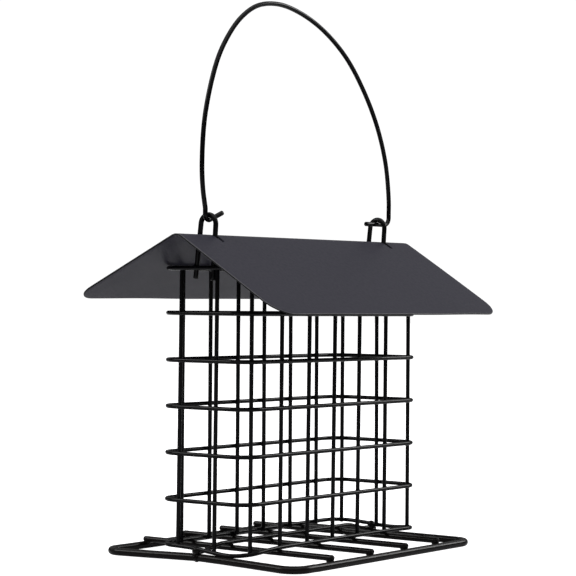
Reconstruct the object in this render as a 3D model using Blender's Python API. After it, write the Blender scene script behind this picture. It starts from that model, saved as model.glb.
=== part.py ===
"""Suet feeder: a cage of welded wire on a wire tray, under a folded sheet roof, hung from a wire bail.

Metres, +Z up. The ridge runs along X and the front slope falls towards -Y. The origin lies on the surface
that the tray stands on, under the middle of the whole. The cage and the tray stand a little off that middle,
by the places below. Touching pieces keep the small gap named SEAT.
"""
import math

import bmesh
import bpy
from mathutils import Matrix, Vector

SEAT = 0.0003
CAGE_X = 0.0016
CAGE_Y = 0.0022
TRAY_X = 0.0002
TRAY_Y = 0.0018

# Cage: level rings outside, uprights inside them, all of one wire.
CAGE_WIRE = 0.0016
CAGE_LENGTH = 0.1313
CAGE_WIDTH = 0.0484
CAGE_CORNER = 0.0090
RING_PITCH = 0.0200
RING_COUNT = 7
FRONT_UPRIGHT_SHARES = (-0.453, -0.296, -0.146, 0.001, 0.146, 0.307, 0.470)
BACK_UPRIGHT_SHARES = (-0.406, -0.254, -0.102, 0.044, 0.198, 0.355)
LEFT_UPRIGHT_SHARES = (-0.131, 0.279)
RIGHT_UPRIGHT_SHARES = (-0.019, 0.383)

# Tray: a frame of thick wire, four rods across it and one thin bar along it.
TRAY_WIRE = 0.0031
TRAY_LENGTH = 0.1346
TRAY_WIDTH = 0.1065
TRAY_CORNER = 0.0080
PINCH_IN = 0.0040
PINCH_UP = 0.0003
ROD_WIRE = 0.0023
ROD_SHARES = (-0.302, -0.091, 0.107, 0.297)
ROD_OVERHANG = 0.0002
BAR_WIRE = 0.0020
BAR_ASIDE = 0.0016
BAR_DROOP = math.radians(50)
BAR_DIP_START = 0.0460
BAR_DIP_END = 0.0620

# Roof: one folded sheet that rests on the top ring's two long wires.
ROOF_SHEET = 0.0008
ROOF_LENGTH = 0.1708
ROOF_SLOPE = 0.0648
ROOF_PITCH = math.radians(28.4)
ROOF_FOLD = 0.0060
ROOF_CORNER = 0.0110
ROOF_SHIFT = 0.0031
SLOT_LENGTH = 0.0165
SLOT_PLAY = 0.0003

# Eyelets: arched staples inside the top ring's gable wires, passing through the roof's slots.
EYELET_WIRE = 0.0020
EYELET_RISE = 0.0240
EYELET_BEND = 0.0041
EYELET_SPLAY = 0.0007
EYELET_TAIL = 0.0048
EYELET_SHIFT = 0.0006
EYELET_LEAN = math.radians(5)

# Bail: a hoop whose hooked ends pass through the eyelets. The line through both hooks rises towards +X.
BAIL_WIRE = 0.0019
AXIS_SLOPE = math.radians(0.9)
BAIL_HEIGHT = 0.0974
LEFT_HOOK_BEND = 0.00235
LEFT_HOOK_LIFT = math.radians(21)
LEFT_HOOK_TAIL = 0.0090
RIGHT_HOOK_REACH = 0.0093
RIGHT_HOOK_BEND = 0.0036
RIGHT_HOOK_TAIL = 0.0097
BAIL_ACROSS_SHARES = (
    0.0, -0.0126, -0.0177, -0.0054, 0.0408, 0.0834, 0.159, 0.250, 0.359,
    0.473, 0.607, 0.740, 0.847, 0.928, 0.979, 0.9996, 1.0,
)
BAIL_UP_SHARES = (
    0.040, 0.128, 0.239, 0.445, 0.662, 0.774, 0.896, 0.974, 1.0,
    0.981, 0.918, 0.805, 0.652, 0.485, 0.311, 0.1345, 0.060,
)

# Ends of wires: advance past the path's end and width, as shares of the wire's radius.
CUT_END_SHARES = ((0.0, 1.0), (0.15, 0.82))
DOMED_END_SHARES = ((0.0, 1.0), (0.5, 0.866), (0.82, 0.57), (0.96, 0.27))

FINE_FACETS = 10
ROUND_FACETS = 12
RING_CORNER_STEPS = 5
FRAME_CORNER_STEPS = 6
BEND_STEPS = 6
FOLD_STEPS = 8
CORNER_STEPS = 6
DIP_STEPS = 8
SPLINE_STEPS = 3
SETTLING_STEPS = 12
SHARP_ANGLE = math.radians(40)

WIRE_BLACK = (0.012, 0.012, 0.013, 1.0)
SHEET_GREY = (0.056, 0.055, 0.066, 1.0)


# Heights and places that follow from the sizes above.

FRAME_Z = TRAY_WIRE / 2 * math.cos(math.pi / ROUND_FACETS)
ROD_Z = FRAME_Z + TRAY_WIRE / 2 + SEAT + ROD_WIRE / 2
BOTTOM_RING_Z = ROD_Z + ROD_WIRE / 2 + SEAT + CAGE_WIRE / 2
TOP_RING_Z = BOTTOM_RING_Z + RING_PITCH * (RING_COUNT - 1)
BAR_Z = ROD_Z + ROD_WIRE / 2 + SEAT + BAR_WIRE / 2
UPRIGHT_INSET = CAGE_WIRE + SEAT
BAR_Y = CAGE_Y + CAGE_WIDTH * RIGHT_UPRIGHT_SHARES[0] + CAGE_WIRE / 2 + BAR_ASIDE + BAR_WIRE / 2
EYELET_X = CAGE_LENGTH / 2 - CAGE_WIRE / 2 - SEAT - EYELET_WIRE / 2
BAIL_DROP = EYELET_WIRE / 2 + SEAT + BAIL_WIRE / 2
AXIS_RISE = EYELET_RISE - BAIL_DROP
AXIS_Y = CAGE_Y + EYELET_SHIFT - AXIS_RISE * math.sin(EYELET_LEAN)
AXIS_Z = TOP_RING_Z + AXIS_RISE * math.cos(EYELET_LEAN)
CAGE_PLACE = Vector((CAGE_X, CAGE_Y, 0))
TRAY_PLACE = Vector((TRAY_X, TRAY_Y, 0))


def clear_scene():
    """Remove what the file holds, so that only the feeder is left."""
    for old in list(bpy.data.objects):
        bpy.data.objects.remove(old, do_unlink=True)


def paint(name, colour, roughness, metallic):
    """A painted finish with its own Principled BSDF."""
    material = bpy.data.materials.new(name)
    material.use_nodes = True
    shader = material.node_tree.nodes["Principled BSDF"]
    shader.inputs["Base Color"].default_value = colour
    shader.inputs["Roughness"].default_value = roughness
    shader.inputs["Metallic"].default_value = metallic
    return material


def add_object(name, bm, colour=WIRE_BLACK, roughness=0.35, metallic=0.0):
    """Turn a bmesh into a named object with its own material, shaded smooth but for its sharp edges."""
    bmesh.ops.recalc_face_normals(bm, faces=bm.faces)
    mesh = bpy.data.meshes.new(name)
    bm.to_mesh(mesh)
    bm.free()
    mesh.shade_smooth()
    mesh.set_sharp_from_angle(angle=SHARP_ANGLE)
    mesh.materials.append(paint(name + "_paint", colour, roughness, metallic))
    piece = bpy.data.objects.new(name, mesh)
    bpy.context.collection.objects.link(piece)
    return piece


def ring_of_verts(bm, centre, along, upright, radius, facets):
    """One round section square to a wire, with a flat side facing the upright direction."""
    side = along.cross(upright).normalized()
    up = side.cross(along).normalized()
    verts = []
    for k in range(facets):
        angle = math.tau * (k + 0.5) / facets
        verts.append(bm.verts.new(centre + radius * (math.cos(angle) * side + math.sin(angle) * up)))
    return verts


def wire(name, path, diameter, facets, upright, place, closed=False, ends=CUT_END_SHARES):
    """Sweep a round wire along a path of points, as a loop or with two finished ends, and set it in its place."""
    bm = bmesh.new()
    radius = diameter / 2
    count = len(path)
    sections = []
    for i, point in enumerate(path):
        before = path[i - 1] if (closed or i) else point
        after = path[(i + 1) % count] if (closed or i < count - 1) else point
        leave = (after - point).normalized()
        arrive = (point - before).normalized()
        sections.append((point, (leave + arrive).normalized(), radius))
    if not closed:
        first, last = sections[0], sections[-1]
        head = [(first[0] - first[1] * radius * a, first[1], radius * w) for a, w in reversed(ends)]
        tail = [(last[0] + last[1] * radius * a, last[1], radius * w) for a, w in ends]
        sections = head + sections[1:-1] + tail
    rings = [ring_of_verts(bm, centre, along, upright, size, facets) for centre, along, size in sections]
    pairs = list(zip(rings, rings[1:]))
    if closed:
        pairs.append((rings[-1], rings[0]))
    for one, two in pairs:
        for k in range(facets):
            j = (k + 1) % facets
            bm.faces.new((one[k], one[j], two[j], two[k]))
    if not closed:
        bm.faces.new(rings[0])
        bm.faces.new(rings[-1])
    piece = add_object(name, bm)
    piece.location = place
    return piece


def arc(centre, radius, start, finish, steps):
    """Points of an arc in a plane of two coordinates, both ends included."""
    points = []
    for k in range(steps + 1):
        angle = start + (finish - start) * k / steps
        points.append((centre[0] + radius * math.cos(angle), centre[1] + radius * math.sin(angle)))
    return points


def rounded_rectangle(length, width, corner, z, steps):
    """Centreline of a level frame, anticlockwise from its +X side."""
    points = []
    for quarter in range(4):
        side_x = 1 if quarter in (0, 3) else -1
        side_y = 1 if quarter < 2 else -1
        centre = (side_x * (length / 2 - corner), side_y * (width / 2 - corner))
        start = math.pi / 2 * quarter
        points += [Vector((x, y, z)) for x, y in arc(centre, corner, start, start + math.pi / 2, steps)]
    return points


def smooth_curve(points, steps):
    """A smooth curve through points in a plane: a centripetal Catmull-Rom spline."""
    ends = [points[0] * 2 - points[1], points[-1] * 2 - points[-2]]
    chain = [ends[0]] + list(points) + [ends[1]]
    curve = [points[0]]
    for a, b, c, d in zip(chain, chain[1:], chain[2:], chain[3:]):
        t0 = 0.0
        t1 = t0 + math.sqrt((b - a).length)
        t2 = t1 + math.sqrt((c - b).length)
        t3 = t2 + math.sqrt((d - c).length)
        for k in range(1, steps + 1):
            t = t1 + (t2 - t1) * k / steps
            ab = a.lerp(b, (t - t0) / (t1 - t0))
            bc = b.lerp(c, (t - t1) / (t2 - t1))
            cd = c.lerp(d, (t - t2) / (t3 - t2))
            abc = ab.lerp(bc, (t - t0) / (t2 - t0))
            bcd = bc.lerp(cd, (t - t1) / (t3 - t1))
            curve.append(abc.lerp(bcd, (t - t1) / (t2 - t1)))
    return curve


def build_rings():
    """Seven level rings, each a bent and closed wire."""
    for i in range(RING_COUNT):
        z = BOTTOM_RING_Z + RING_PITCH * i
        path = rounded_rectangle(CAGE_LENGTH, CAGE_WIDTH, CAGE_CORNER, z, RING_CORNER_STEPS)
        wire(f"cage_ring_{i + 1}", path, CAGE_WIRE, FINE_FACETS, Vector((0, 0, 1)), CAGE_PLACE, closed=True)


def inside_ring(share, length, width):
    """Place of an upright: its share along one side, and how far out from the middle it touches the ring."""
    along = share * length
    corner = CAGE_CORNER - UPRIGHT_INSET
    over = max(0.0, abs(along) - (length / 2 - CAGE_CORNER))
    return along, width / 2 - CAGE_CORNER + math.sqrt(corner ** 2 - over ** 2)


def build_uprights():
    """Seventeen uprights inside the rings, level with the rings' faces at both ends."""
    places = []
    for side, shares, sign in (("front", FRONT_UPRIGHT_SHARES, -1), ("back", BACK_UPRIGHT_SHARES, 1)):
        for i, share in enumerate(shares):
            x, y = inside_ring(share, CAGE_LENGTH, CAGE_WIDTH)
            places.append((f"{side}_upright_{i + 1}", x, sign * y))
    for side, shares, sign in (("left", LEFT_UPRIGHT_SHARES, -1), ("right", RIGHT_UPRIGHT_SHARES, 1)):
        for i, share in enumerate(shares):
            y, x = inside_ring(share, CAGE_WIDTH, CAGE_LENGTH)
            places.append((f"{side}_upright_{i + 1}", sign * x, y))
    end = CAGE_WIRE / 2 * CUT_END_SHARES[-1][0]
    low = BOTTOM_RING_Z - CAGE_WIRE / 2 + end
    high = TOP_RING_Z + CAGE_WIRE / 2 - end
    for name, x, y in places:
        path = [Vector((x, y, low)), Vector((x, y, high))]
        wire(name, path, CAGE_WIRE, FINE_FACETS, Vector((0, 1, 0)), CAGE_PLACE)


def build_tray_frame():
    """The tray's frame, pinched in and up where the bar ends on its left side."""
    path = rounded_rectangle(TRAY_LENGTH, TRAY_WIDTH, TRAY_CORNER, FRAME_Z, FRAME_CORNER_STEPS)
    middle = len(path) // 2
    path.insert(middle, Vector((-TRAY_LENGTH / 2 + PINCH_IN, BAR_Y - TRAY_Y, FRAME_Z + PINCH_UP)))
    wire("tray_frame", path, TRAY_WIRE, ROUND_FACETS, Vector((0, 0, 1)), TRAY_PLACE, closed=True)


def build_tray_rods():
    """Straight rods across the tray, resting on the frame, their rounded ends over its long sides."""
    half = TRAY_WIDTH / 2 + ROD_OVERHANG - ROD_WIRE / 2 * DOMED_END_SHARES[-1][0]
    for i, share in enumerate(ROD_SHARES):
        x = TRAY_LENGTH * share
        path = [Vector((x, -half, ROD_Z)), Vector((x, half, ROD_Z))]
        name = f"tray_rod_{i + 1}"
        wire(name, path, ROD_WIRE, FINE_FACETS, Vector((1, 0, 0)), TRAY_PLACE, ends=DOMED_END_SHARES)


def bar_end(frame_x, frame_z):
    """One half of the long bar, outward from the rods: it dips under the bottom ring and ends on the frame."""
    reach = TRAY_WIRE / 2 + SEAT + BAR_WIRE / 2
    low = frame_z + reach
    points = []
    for k in range(DIP_STEPS + 1):
        share = k / DIP_STEPS
        fall = (1 - math.cos(math.pi * share)) / 2
        points.append((BAR_DIP_START + (BAR_DIP_END - BAR_DIP_START) * share, BAR_Z + (low - BAR_Z) * fall))
    points += arc((frame_x, frame_z), reach, math.pi / 2, math.pi / 2 - BAR_DROOP, BEND_STEPS)
    return points


def build_tray_bar():
    """The bar along the tray: over the rods, under the cage's bottom ring, with both ends on the frame."""
    left = bar_end(TRAY_LENGTH / 2 - PINCH_IN, FRAME_Z + PINCH_UP)
    right = bar_end(TRAY_LENGTH / 2, FRAME_Z)
    y = BAR_Y - TRAY_Y
    path = [Vector((-x, y, z)) for x, z in reversed(left)] + [Vector((x, y, z)) for x, z in right]
    wire("tray_bar", path, BAR_WIRE, FINE_FACETS, Vector((0, 1, 0)), TRAY_PLACE, ends=DOMED_END_SHARES)


def settle_roof():
    """Height of the slopes' meeting line over the top ring, and the tilt, with both slopes on the long wires."""
    reach = CAGE_WIRE / 2 + SEAT + ROOF_SHEET
    half = CAGE_WIDTH / 2
    tilt = 0.0
    for _ in range(SETTLING_STEPS):
        height = reach / (math.cos(ROOF_PITCH) * math.cos(tilt))
        height += half * math.tan(ROOF_PITCH) - ROOF_SHIFT * math.tan(tilt)
        tilt = math.atan2(ROOF_SHIFT, height + half / math.tan(ROOF_PITCH))
    return height, tilt


def roof_profile(offset):
    """One face of the folded sheet in (y, z), front eave to back eave, with the slopes meeting at the origin."""
    fold = ROOF_FOLD - offset
    centre = (0.0, -ROOF_FOLD / math.cos(ROOF_PITCH))
    run = ROOF_SLOPE - ROOF_FOLD * ROOF_PITCH
    up = math.pi / 2
    points = arc(centre, fold, up + ROOF_PITCH, up - ROOF_PITCH, FOLD_STEPS)
    drop = (run * math.cos(ROOF_PITCH), run * math.sin(ROOF_PITCH))
    points.insert(0, (points[0][0] - drop[0], points[0][1] - drop[1]))
    points.append((points[-1][0] + drop[0], points[-1][1] - drop[1]))
    return points


def slot_cutter(name, x, place):
    """A long hole's shape, square to the roof's base, that the roof is cut by."""
    bm = bmesh.new()
    radius = EYELET_WIRE / 2 + SLOT_PLAY
    straight = SLOT_LENGTH / 2 - radius
    outline = arc((0, straight), radius, 0, math.pi, BEND_STEPS)
    outline += arc((0, -straight), radius, math.pi, math.tau, BEND_STEPS)
    floor = [bm.verts.new((x + px, py, -ROOF_SLOPE)) for px, py in outline]
    base = bm.faces.new(floor)
    grown = bmesh.ops.extrude_face_region(bm, geom=[base])["geom"]
    top = [v for v in grown if isinstance(v, bmesh.types.BMVert)]
    bmesh.ops.translate(bm, verts=top, vec=(0, 0, ROOF_SLOPE * 2))
    cutter = add_object(name, bm)
    cutter.matrix_world = place
    cutter.hide_render = True
    cutter.display_type = "WIRE"
    return cutter


def build_roof():
    """The roof sheet: a folded profile drawn along the ridge, its corners rounded, with a slot for each eyelet."""
    height, tilt = settle_roof()
    place = Matrix.Translation((0, CAGE_Y - ROOF_SHIFT, TOP_RING_Z + height)) @ Matrix.Rotation(tilt, 4, "X")
    outer = roof_profile(0.0)
    inner = roof_profile(ROOF_SHEET)
    bm = bmesh.new()
    outline = [bm.verts.new((-ROOF_LENGTH / 2, y, z)) for y, z in outer + inner[::-1]]
    gable = bm.faces.new(outline)
    grown = bmesh.ops.extrude_face_region(bm, geom=[gable])["geom"]
    far_side = [v for v in grown if isinstance(v, bmesh.types.BMVert)]
    bmesh.ops.translate(bm, verts=far_side, vec=(ROOF_LENGTH, 0, 0))
    reach = outer[-1][0] - ROOF_SHEET
    corners = [
        edge for edge in bm.edges
        if edge.calc_length() < ROOF_SHEET + SEAT and all(abs(v.co.y) > reach for v in edge.verts)
    ]
    bmesh.ops.bevel(bm, geom=corners, offset=ROOF_CORNER, segments=CORNER_STEPS, profile=0.5, affect="EDGES")
    roof = add_object("roof_sheet", bm, SHEET_GREY, roughness=0.45)
    roof.matrix_world = place
    for side, x in (("left", CAGE_X - EYELET_X), ("right", CAGE_X + EYELET_X)):
        cut = roof.modifiers.new(f"{side}_slot", "BOOLEAN")
        cut.operation = "DIFFERENCE"
        cut.solver = "EXACT"
        cut.object = slot_cutter(f"{side}_slot_cutter", x, place)


def build_eyelets():
    """Two arched staples, each with its origin on the top ring, leaning with the roof, the right one taller."""
    foot = EYELET_BEND + EYELET_SPLAY
    for side, x in (("left", -EYELET_X), ("right", EYELET_X)):
        rise = EYELET_RISE + x * math.tan(AXIS_SLOPE) / math.cos(EYELET_LEAN)
        outline = [(foot, -EYELET_TAIL)]
        outline += arc((0, rise - EYELET_BEND), EYELET_BEND, 0, math.pi, BEND_STEPS * 2)
        outline.append((-foot, -EYELET_TAIL))
        path = [Vector((0, y, z)) for y, z in outline]
        y = AXIS_Y + (rise - BAIL_DROP) * math.sin(EYELET_LEAN)
        place = (CAGE_X + x, y, TOP_RING_Z)
        eyelet = wire(f"{side}_eyelet", path, EYELET_WIRE, FINE_FACETS, Vector((1, 0, 0)), place)
        eyelet.rotation_euler = (EYELET_LEAN, 0, 0)


def build_bail():
    """The bail, with its origin on the axis that it swings about: a hook, the hoop and a long hook."""
    left_x = -EYELET_X - LEFT_HOOK_BEND
    right_x = EYELET_X + RIGHT_HOOK_REACH
    lift = EYELET_X * math.tan(AXIS_SLOPE)
    down = -math.pi / 2
    left_centre = (-EYELET_X, LEFT_HOOK_BEND - lift)
    left = arc(left_centre, LEFT_HOOK_BEND, down + LEFT_HOOK_LIFT, -math.pi, BEND_STEPS)
    run = LEFT_HOOK_TAIL - LEFT_HOOK_BEND * math.sin(LEFT_HOOK_LIFT)
    tip = (left[0][0] + run, left[0][1] + run * math.tan(LEFT_HOOK_LIFT))
    right_centre = (right_x - RIGHT_HOOK_BEND, RIGHT_HOOK_BEND + lift)
    right = arc(right_centre, RIGHT_HOOK_BEND, 0, down, BEND_STEPS)
    right.append((EYELET_X - RIGHT_HOOK_TAIL, lift))
    width = right_x - left_x
    hoop = []
    for across, up in zip(BAIL_ACROSS_SHARES, BAIL_UP_SHARES):
        hoop.append(Vector((left_x + width * across, 0, BAIL_HEIGHT * up)))
    path = [Vector((x, 0, z)) for x, z in [tip] + left]
    path += smooth_curve(hoop, SPLINE_STEPS)
    path += [Vector((x, 0, z)) for x, z in right]
    wire("bail", path, BAIL_WIRE, FINE_FACETS, Vector((0, 1, 0)), (CAGE_X, AXIS_Y, AXIS_Z))


clear_scene()
build_rings()
build_uprights()
build_tray_frame()
build_tray_rods()
build_tray_bar()
build_roof()
build_eyelets()
build_bail()
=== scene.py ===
"""Suet feeder: a cage of welded wire on a wire perch tray, under a folded sheet roof, hung from a wire bail.

Metres, +Z up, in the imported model's frame. The ridge runs along X and the front slope falls towards -Y.
"""
import logging
import math
from abc import ABC, abstractmethod
from dataclasses import dataclass
from enum import Enum
from typing import Sequence

import bmesh
import bpy
from mathutils import Matrix, Vector


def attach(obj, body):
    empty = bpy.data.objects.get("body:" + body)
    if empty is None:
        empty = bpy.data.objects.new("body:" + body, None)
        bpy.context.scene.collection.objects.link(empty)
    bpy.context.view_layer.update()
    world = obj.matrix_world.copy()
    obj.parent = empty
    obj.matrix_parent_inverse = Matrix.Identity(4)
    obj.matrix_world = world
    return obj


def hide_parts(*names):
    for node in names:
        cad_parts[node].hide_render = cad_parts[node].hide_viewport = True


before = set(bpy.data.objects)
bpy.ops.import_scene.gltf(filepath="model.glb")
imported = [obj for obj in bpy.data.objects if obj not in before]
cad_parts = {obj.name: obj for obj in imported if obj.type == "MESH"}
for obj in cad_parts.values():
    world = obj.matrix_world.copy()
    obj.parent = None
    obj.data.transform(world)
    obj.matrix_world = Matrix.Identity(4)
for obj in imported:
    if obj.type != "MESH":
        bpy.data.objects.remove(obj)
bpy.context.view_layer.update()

LOG = logging.getLogger("suet_feeder")

ALONG_X = Vector((1.0, 0.0, 0.0))
ALONG_Y = Vector((0.0, 1.0, 0.0))
UP = Vector((0.0, 0.0, 1.0))
SEAT = 0.0003  # the gap between the solids of two wires that are welded together

Colour = tuple[float, float, float, float]
Spans = tuple[float, float, float]


class Body(Enum):
    """The parts of the feeder that move on their own."""

    FEEDER = "feeder"
    ROOF = "roof"
    BAIL = "bail"


class Slot(Enum):
    """The record's finishes."""

    CAGE = "cage"
    TRAY = "tray"
    HANGER = "hanger"
    ROOF = "roof"


class WireEnd(Enum):
    """How a wire ends: advance past the path's end and width, as shares of the wire's radius."""

    CUT = ((0.0, 1.0), (0.05, 0.985), (0.10, 0.94), (0.14, 0.85), (0.15, 0.66))
    DOMED = ((0.0, 1.0), (0.26, 0.966), (0.5, 0.866), (0.71, 0.70), (0.87, 0.49), (0.96, 0.27))
    BLUNT = ((0.0, 1.0), (0.24, 0.975), (0.45, 0.90), (0.62, 0.78), (0.74, 0.62), (0.80, 0.44))


# Node trees


class MixKind(Enum):
    """What a Mix node mixes: its data type, the numbers of its two inputs, and that of its output."""

    VALUES = ("FLOAT", "2", "3", 0)
    COLOURS = ("RGBA", "6", "7", 2)


class TreeMaker:
    """Adds and joins the nodes of one tree."""

    def __init__(self, tree: bpy.types.NodeTree) -> None:
        """Keep the tree that nodes go into."""
        self.tree = tree

    def add(self, kind: str, settings: dict | None = None, **inputs: object) -> bpy.types.Node:
        """Add a node.

        Args:
            kind: Blender's name for the node.
            settings: Properties of the node itself.
            inputs: Values or output sockets for its inputs, with spaces written as underscores.

        Returns:
            The new node.
        """
        node = self.tree.nodes.new(kind)
        for name, value in (settings or {}).items():
            setattr(node, name, value)
        for name, value in inputs.items():
            self.feed(node, name.replace("_", " "), value)
        return node

    def feed(self, node: bpy.types.Node, name: str, value: object) -> None:
        """Give an input a value, or a link where the value is another node's output.

        Args:
            node: The node to feed.
            name: The input's name, or its number as text.
            value: A plain value or an output socket.
        """
        socket = node.inputs[int(name)] if name.isdigit() else node.inputs[name]
        if isinstance(value, bpy.types.NodeSocket):
            self.tree.links.new(value, socket)
        else:
            socket.default_value = value

    def math(self, operation: str, first: object, second: object = 0.0, third: object = 0.0,
             clamp: bool = False) -> bpy.types.NodeSocket:
        """Add a Math node.

        Args:
            operation: Blender's name for the operation.
            first: The first input, as a value or a socket.
            second: The second input.
            third: The third input.
            clamp: Whether the result is kept between 0 and 1.

        Returns:
            The node's output.
        """
        node = self.add("ShaderNodeMath", {"operation": operation, "use_clamp": clamp})
        for number, value in enumerate((first, second, third)):
            self.feed(node, str(number), value)
        return node.outputs[0]

    def mix(self, kind: MixKind, share: object, first: object, second: object) -> bpy.types.NodeSocket:
        """Add a Mix node.

        Args:
            kind: What it mixes.
            share: How much of the second input there is.
            first: The first input, as a value or a socket.
            second: The second input.

        Returns:
            The mixed colour or value.
        """
        data_type, first_number, second_number, output = kind.value
        node = self.add("ShaderNodeMix", {"data_type": data_type})
        for number, value in (("0", share), (first_number, first), (second_number, second)):
            self.feed(node, number, value)
        return node.outputs[output]

    def noise(self, size: object, vector: object, detail: float = 2.0,
              seed: object = 0.0) -> bpy.types.NodeSocket:
        """Add a noise with a feature size in metres.

        Args:
            size: Width of one feature, as a value or a socket.
            vector: The coordinates' socket.
            detail: Octaves of the noise.
            seed: The fourth coordinate, which picks the pattern.

        Returns:
            The noise's factor, about 0.5 on average.
        """
        scale = self.math("DIVIDE", 1.0, size)
        node = self.add("ShaderNodeTexNoise", {"noise_dimensions": "4D"}, Scale=scale, W=seed, Detail=detail)
        self.feed(node, "Vector", vector)
        return node.outputs["Fac"]

    def named(self, attribute: str, kind: str) -> bpy.types.NodeSocket:
        """Read one of the mesh's own attributes in a Geometry Nodes tree."""
        node = self.add("GeometryNodeInputNamedAttribute", {"data_type": kind}, Name=attribute)
        return node.outputs["Attribute"]

    def ripple(self, surface: object, depth: object, size: object, detail: float,
               seed: object) -> bpy.types.NodeSocket:
        """Move a surface in and out by a noise, in a Geometry Nodes tree.

        Args:
            surface: The geometry's socket.
            depth: How far it moves at most.
            size: Width of one feature.
            detail: Octaves of the noise.
            seed: Picks the pattern.

        Returns:
            The moved geometry.
        """
        place = self.add("GeometryNodeInputPosition").outputs[0]
        wave = self.math("MULTIPLY_ADD", self.noise(size, place, detail, seed), 2.0, -1.0)
        push = self.add("ShaderNodeVectorMath", {"operation": "SCALE"})
        self.feed(push, "0", self.add("GeometryNodeInputNormal").outputs[0])
        self.feed(push, "Scale", self.math("MULTIPLY", wave, depth))
        return self.add("GeometryNodeSetPosition", Geometry=surface, Offset=push.outputs[0]).outputs[0]

    def coated(self, surface: object, coat: object) -> bpy.types.NodeSocket:
        """End a Geometry Nodes tree.

        Args:
            surface: The geometry's socket.
            coat: The material's socket.

        Returns:
            The geometry with smooth faces, real meshes and one material.
        """
        smooth = self.add("GeometryNodeSetShadeSmooth", Geometry=surface)
        real = self.add("GeometryNodeRealizeInstances", Geometry=smooth.outputs[0])
        return self.add("GeometryNodeSetMaterial", Geometry=real.outputs[0], Material=coat).outputs[0]


def new_group(name: str, kind: str, inputs: Sequence[tuple[str, str, object]],
              outputs: Sequence[tuple[str, str]],
              ) -> tuple[bpy.types.NodeTree, TreeMaker, bpy.types.Node, bpy.types.Node]:
    """Start a node group with named sockets.

    Args:
        name: The group's name.
        kind: GeometryNodeTree or ShaderNodeTree.
        inputs: (name, socket type, default or None) for each input.
        outputs: (name, socket type) for each output.

    Returns:
        (the group, its TreeMaker, its input node, its output node).
    """
    group = bpy.data.node_groups.new(name, kind)
    for label, socket_type, default in inputs:
        socket = group.interface.new_socket(name=label, in_out="INPUT", socket_type=socket_type)
        if default is not None:
            socket.default_value = default
    for label, socket_type in outputs:
        group.interface.new_socket(name=label, in_out="OUTPUT", socket_type=socket_type)
    maker = TreeMaker(group)
    return group, maker, group.nodes.new("NodeGroupInput"), group.nodes.new("NodeGroupOutput")


def wire_tree() -> bpy.types.NodeTree:
    """Geometry Nodes that sweep a coated wire along a path of points.

    Returns:
        A group that reads the path's "girth" attribute and puts out a closed tube with a rippled coat.
    """
    group, maker, given, made = new_group(
        "coated_wire", "GeometryNodeTree",
        [("Path", "NodeSocketGeometry", None), ("Diameter", "NodeSocketFloat", 0.002),
         ("Facets", "NodeSocketInt", 24), ("Ripple Depth", "NodeSocketFloat", 0.00003),
         ("Ripple Length", "NodeSocketFloat", 0.006), ("Seed", "NodeSocketFloat", 0.0),
         ("Coat", "NodeSocketMaterial", None)],
        [("Wire", "NodeSocketGeometry")])
    curve = maker.add("GeometryNodeMeshToCurve", Mesh=given.outputs["Path"])
    radius = maker.math("MULTIPLY", given.outputs["Diameter"], 0.5)
    section = maker.add("GeometryNodeCurvePrimitiveCircle", Resolution=given.outputs["Facets"])
    maker.feed(section, "Radius", radius)
    swept = maker.add("GeometryNodeCurveToMesh", Curve=curve.outputs[0], Profile_Curve=section.outputs[0],
                      Scale=maker.named("girth", "FLOAT"), Fill_Caps=True)
    rippled = maker.ripple(swept.outputs[0], given.outputs["Ripple Depth"], given.outputs["Ripple Length"],
                           2.0, given.outputs["Seed"])
    maker.feed(made, "Wire", maker.coated(rippled, given.outputs["Coat"]))
    return group


def bead_tree() -> bpy.types.NodeTree:
    """Geometry Nodes that set one weld bead at each point.

    Returns:
        A group that reads the points' "facing", "along" and "spans" attributes.
    """
    group, maker, given, made = new_group(
        "weld_beads", "GeometryNodeTree",
        [("Spots", "NodeSocketGeometry", None), ("Fineness", "NodeSocketInt", 3),
         ("Lump Depth", "NodeSocketFloat", 0.00012), ("Lump Size", "NodeSocketFloat", 0.0012),
         ("Seed", "NodeSocketFloat", 0.0), ("Coat", "NodeSocketMaterial", None)],
        [("Beads", "NodeSocketGeometry")])
    ball = maker.add("GeometryNodeMeshIcoSphere", Radius=1.0, Subdivisions=given.outputs["Fineness"])
    turn = maker.add("FunctionNodeAxesToRotation", {"primary_axis": "Z", "secondary_axis": "X"},
                     Primary_Axis=maker.named("facing", "FLOAT_VECTOR"),
                     Secondary_Axis=maker.named("along", "FLOAT_VECTOR"))
    cloud = maker.add("GeometryNodeMeshToPoints", Mesh=given.outputs["Spots"])
    placed = maker.add("GeometryNodeInstanceOnPoints", Points=cloud.outputs[0], Instance=ball.outputs[0],
                       Rotation=turn.outputs[0], Scale=maker.named("spans", "FLOAT_VECTOR"))
    real = maker.add("GeometryNodeRealizeInstances", Geometry=placed.outputs[0])
    lumpy = maker.ripple(real.outputs[0], given.outputs["Lump Depth"], given.outputs["Lump Size"],
                         1.0, given.outputs["Seed"])
    maker.feed(made, "Beads", maker.coated(lumpy, given.outputs["Coat"]))
    return group


# Finishes


def relief_group() -> bpy.types.NodeTree:
    """Shader group for the coat's relief.

    Returns:
        A group that puts out the height of a fine orange peel over slow ripples.
    """
    group, maker, given, made = new_group(
        "coat_relief", "ShaderNodeTree",
        [("Peel Size", "NodeSocketFloat", 0.0006), ("Ripple Size", "NodeSocketFloat", 0.006),
         ("Ripple Share", "NodeSocketFloat", 0.5)],
        [("Height", "NodeSocketFloat")])
    place = maker.add("ShaderNodeTexCoord").outputs["Object"]
    peel = maker.noise(given.outputs["Peel Size"], place, 2.0)
    ripple = maker.noise(given.outputs["Ripple Size"], place, 3.0)
    maker.feed(made, "Height", maker.mix(MixKind.VALUES, given.outputs["Ripple Share"], peel, ripple))
    return group


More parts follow.
